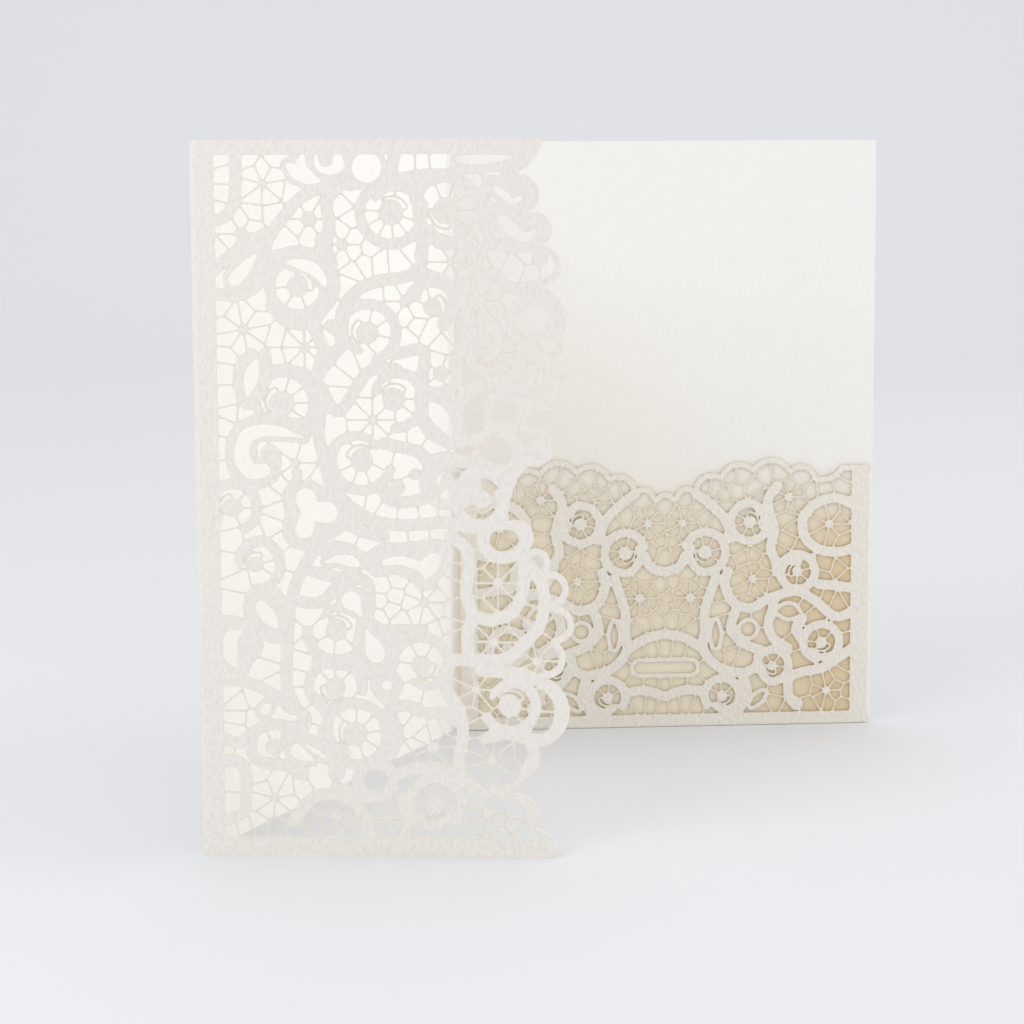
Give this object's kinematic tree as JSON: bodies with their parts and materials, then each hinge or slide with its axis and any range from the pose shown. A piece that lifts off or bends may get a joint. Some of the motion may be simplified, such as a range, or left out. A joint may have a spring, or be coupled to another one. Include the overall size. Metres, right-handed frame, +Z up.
{
  "type": "pocketfold invitation",
  "caption": "Folded card invitation that stands half opened, with a laser-cut lace front flap and a laser-cut lace pocket on its back panel.",
  "frame": {"origin": "middle of the box around the standing invitation, at its foot", "axes": "+Z up, +X along the back panel towards its free edge, -Y towards the lace flap"},
  "size_m": [0.1906, 0.1254, 0.178],
  "materials": {
    "card": "matt, felt-marked"
  },
  "bodies": {
    "root": {"pocketfold": "card"}
  },
  "joints": []
}
